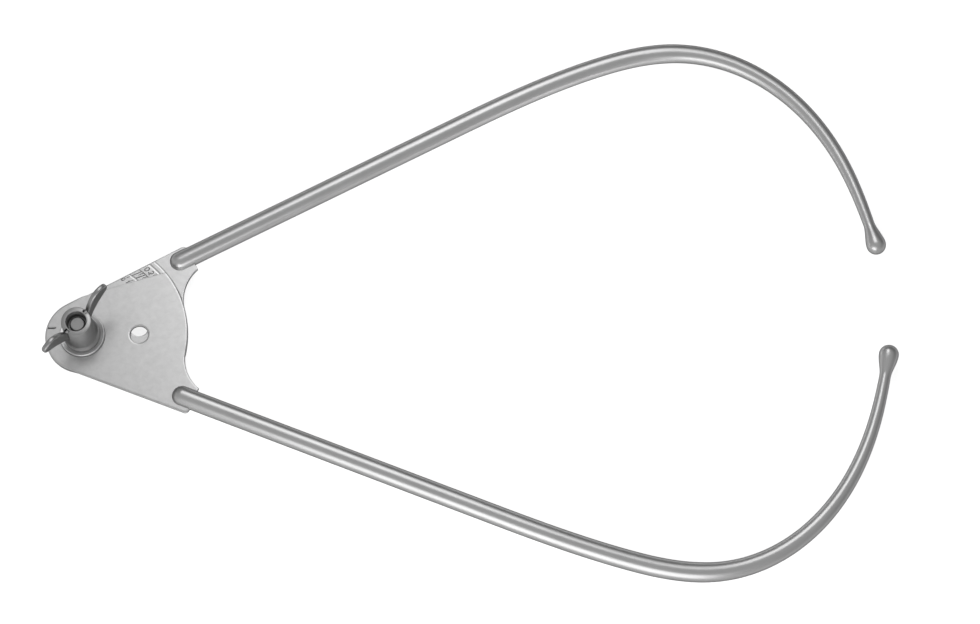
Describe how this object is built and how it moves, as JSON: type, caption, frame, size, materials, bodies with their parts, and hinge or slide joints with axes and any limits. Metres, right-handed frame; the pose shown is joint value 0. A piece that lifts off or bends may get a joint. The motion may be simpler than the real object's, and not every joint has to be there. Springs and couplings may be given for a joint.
{
  "type": "outside caliper for pelvic measuring",
  "caption": "Long-armed bow caliper: two sector plates on one pivot, bowed steel arms with ball tips, an engraved opening scale and a wing nut lock.",
  "frame": {"origin": "on the pivot axis, in the flat face under the bolt head, which lies flush with the underside of the rear arm", "axes": "+X along the instrument from the pivot to the tips, +Y across it towards the rear arm, +Z along the pivot axis up to the wing nut"},
  "size_m": [0.3479, 0.2337, 0.032],
  "materials": {
    "plate_steel": "fine satin brushed",
    "rod_steel": "satin polished along its length",
    "button_steel": "satin polished",
    "screw_steel": "turned",
    "washer_steel": "turned",
    "nut_steel": "turned",
    "wing_steel": "satin, darker"
  },
  "bodies": {
    "rear_half": {"rear_plate": "plate_steel", "rear_arm": "rod_steel", "rear_button": "button_steel", "pivot_bolt": "screw_steel"},
    "front_half": {"front_plate": "plate_steel", "front_arm": "rod_steel", "front_button": "button_steel"},
    "washer": {"pressure_washer": "washer_steel"},
    "wing_nut": {"nut_boss": "nut_steel", "wing_left": "wing_steel", "wing_right": "wing_steel"}
  },
  "joints": [
    {"name": "opening", "type": "hinge", "parent": "rear_half", "child": "front_half", "pos_m": [0, 0, 0.0057], "axis": [0, 0, -1], "range_deg": [-7.02, 68]},
    {"name": "nut_lift", "type": "slide", "parent": "rear_half", "child": "washer", "axis": [0, 0, 1], "range_m": [0, 0.002]},
    {"name": "nut_turn", "type": "hinge", "parent": "washer", "child": "wing_nut", "pos_m": [0, 0, 0.015], "axis": [0, 0, 1], "range_deg": [0, 720]}
  ],
  "couplings": [
    {"joint": "nut_turn", "follows": "nut_lift", "rad_per_m": 6283.2}
  ]
}
